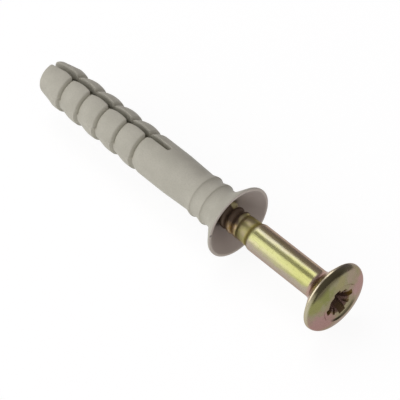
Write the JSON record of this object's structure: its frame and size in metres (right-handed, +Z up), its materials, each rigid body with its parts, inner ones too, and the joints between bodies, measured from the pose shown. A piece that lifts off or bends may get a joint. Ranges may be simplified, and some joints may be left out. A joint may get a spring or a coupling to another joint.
{
  "type": "hammer fixing plug",
  "caption": "Hammer fixing plug: barbed, slotted nylon sleeve with a trumpet collar, part-way over a zinc-yellow threaded drive screw with a domed cross-recess head.",
  "frame": {"origin": "on the plug's axis, in the front plane of the sleeve's collar", "axes": "+X along the axis from the sleeve's tip towards the screw's head, +Z up as the plug lies on its side"},
  "size_m": [0.0548, 0.0102, 0.0102],
  "materials": {
    "nylon": "matt moulded, grey-beige",
    "zinc_yellow": "yellow passivated zinc, iridescent"
  },
  "bodies": {
    "sleeve": {"sleeve": "nylon"},
    "screw": {"drive_screw": "zinc_yellow"}
  },
  "joints": [
    {"name": "drive_in", "type": "slide", "parent": "sleeve", "child": "screw", "axis": [-1, 0, 0], "range_m": [0, 0.0163]}
  ]
}
